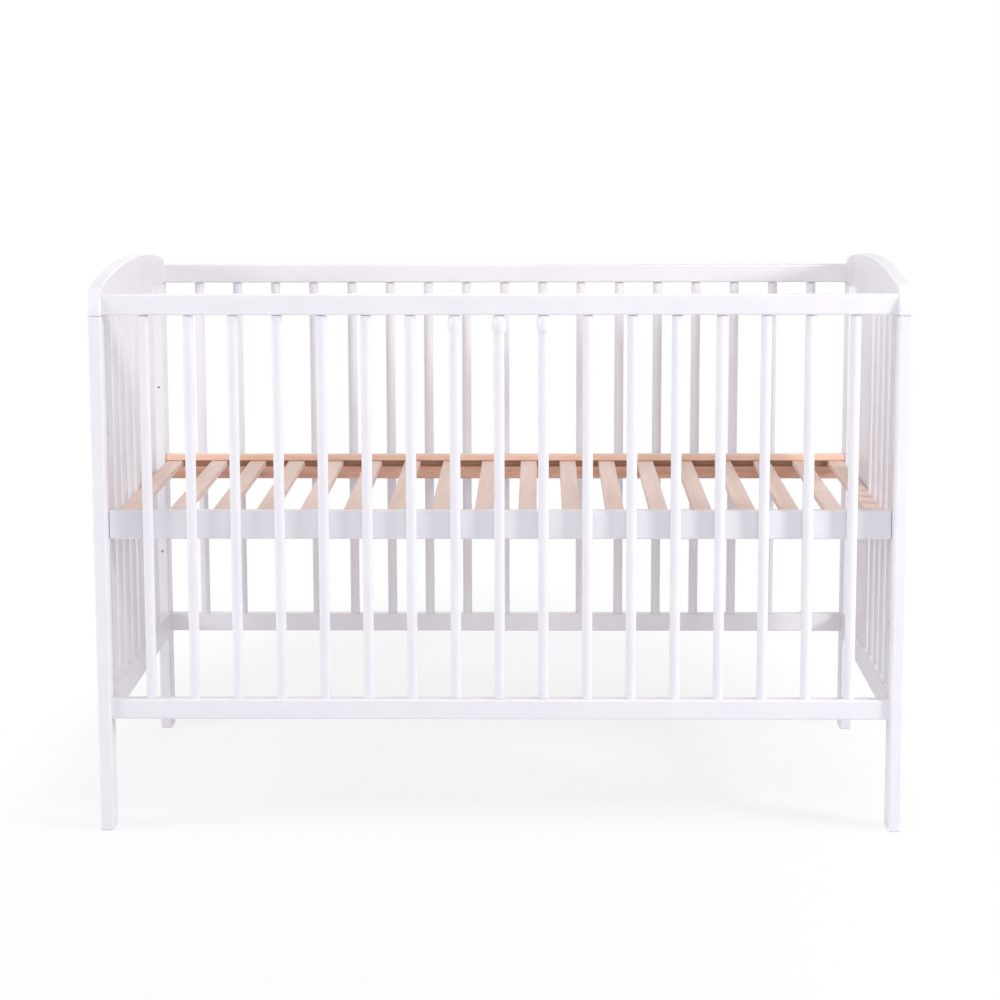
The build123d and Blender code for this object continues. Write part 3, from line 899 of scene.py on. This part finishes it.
@dataclass
class Studio:
    """The floor, the lights, the white surround and the camera."""

    ambient: Colour = (0.47, 0.465, 0.479)
    floor_half: float = 9.0
    floor_drop: float = 0.0004
    lens: float = 93.51
    clip_end: float = 60.0
    camera_place: Point = (0.05968, -4.2437, 1.1403)
    yaw: float = -0.015
    pitch: float = 0.158
    roll: float = 0.002
    boxes: tuple[Softbox, ...] = (
        Softbox("key_right", place=(2.8, -1.6, 1.6), target=(0.0, -0.2, 0.55), size=0.5, power=42.0),
        Softbox("key_left", place=(-2.8, -1.6, 1.35), target=(0.0, -0.2, 0.55), size=0.5, power=13.0),
        Softbox("side_right", place=(3.2, -1.2, 1.9), target=(0.1, -0.1, 0.5), size=0.8, power=18.0),
        Softbox("side_left", place=(-3.0, -0.9, 1.35), target=(0.0, 0.0, 0.5), size=1.2, power=27.0),
        Softbox("overhead", place=(0.1, -0.9, 2.8), target=(0.1, 0.1, 0.5), size=1.6, power=14.5),
        Softbox("front_fill", place=(0.3, -4.4, 1.3), target=(0.0, -0.1, 0.55), size=1.4, power=10.0),
        Softbox("back_fill", place=(-0.4, 3.6, 2.2), target=(0.0, 0.1, 0.5), size=1.6, power=12.0),
    )

    def build(self) -> None:
        """Set up the whole studio."""
        self.lay_floor()
        self.surround()
        for box in self.boxes:
            box.build()
            LOG.info("%s: light", box.name)
        self.place_camera()

    def lay_floor(self) -> None:
        """Lay the floor under the posts."""
        half = self.floor_half
        corners = [(-half, -half, 0.0), (half, -half, 0.0), (half, half, 0.0), (-half, half, 0.0)]
        mesh = bpy.data.meshes.new("floor")
        mesh.from_pydata(corners, [], [(0, 1, 2, 3)])
        mesh.materials.append(FloorFinish().material())
        floor = bpy.data.objects.new("floor", mesh)
        floor.location.z = -self.floor_drop
        bpy.context.scene.collection.objects.link(floor)
        LOG.info("floor: stage")

    def surround(self) -> None:
        """Light the crib softly from all round, and show plain white to the camera."""
        world = bpy.data.worlds.new("surround")
        world.use_nodes = True
        tree = world.node_tree
        tree.nodes.clear()
        soft = tree.nodes.new("ShaderNodeBackground")
        soft.inputs["Color"].default_value = (*self.ambient, 1.0)
        white = tree.nodes.new("ShaderNodeBackground")
        white.inputs["Color"].default_value = (*WHITE, 1.0)
        both = tree.nodes.new("ShaderNodeMixShader")
        tree.links.new(seen_rays(tree), both.inputs[0])
        tree.links.new(soft.outputs["Background"], both.inputs[1])
        tree.links.new(white.outputs["Background"], both.inputs[2])
        output = tree.nodes.new("ShaderNodeOutputWorld")
        tree.links.new(both.outputs["Shader"], output.inputs["Surface"])
        bpy.context.scene.world = world

    def place_camera(self) -> None:
        """Place the camera at the photograph's viewing angle."""
        ahead = Vector((
            math.sin(self.yaw) * math.cos(self.pitch),
            math.cos(self.yaw) * math.cos(self.pitch),
            -math.sin(self.pitch),
        ))
        level = Vector((math.cos(self.yaw), -math.sin(self.yaw), 0.0))
        down = ahead.cross(level)
        right = level * math.cos(self.roll) + down * math.sin(self.roll)
        below = down * math.cos(self.roll) - level * math.sin(self.roll)
        data = bpy.data.cameras.new("camera")
        data.lens = self.lens
        data.clip_end = self.clip_end
        camera = bpy.data.objects.new("camera", data)
        turn = Matrix((right, -below, -ahead)).transposed()
        camera.matrix_world = Matrix.Translation(self.camera_place) @ turn.to_4x4()
        bpy.context.scene.collection.objects.link(camera)
        bpy.context.scene.camera = camera


def main() -> None:
    """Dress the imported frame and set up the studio."""
    logging.basicConfig(level=logging.INFO, format="%(name)s: %(message)s")
    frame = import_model()
    shop = Workshop(frame)
    parts = [EndPanel(end) for end in End]
    parts += [LongSide(side) for side in Side]
    parts += [LiftBars(), SlattedBase(), Fasteners()]
    for part in parts:
        part.dress(shop)
    Studio().build()
    bpy.context.scene.view_settings.view_transform = "Standard"


if __name__ == "__main__":
    main()
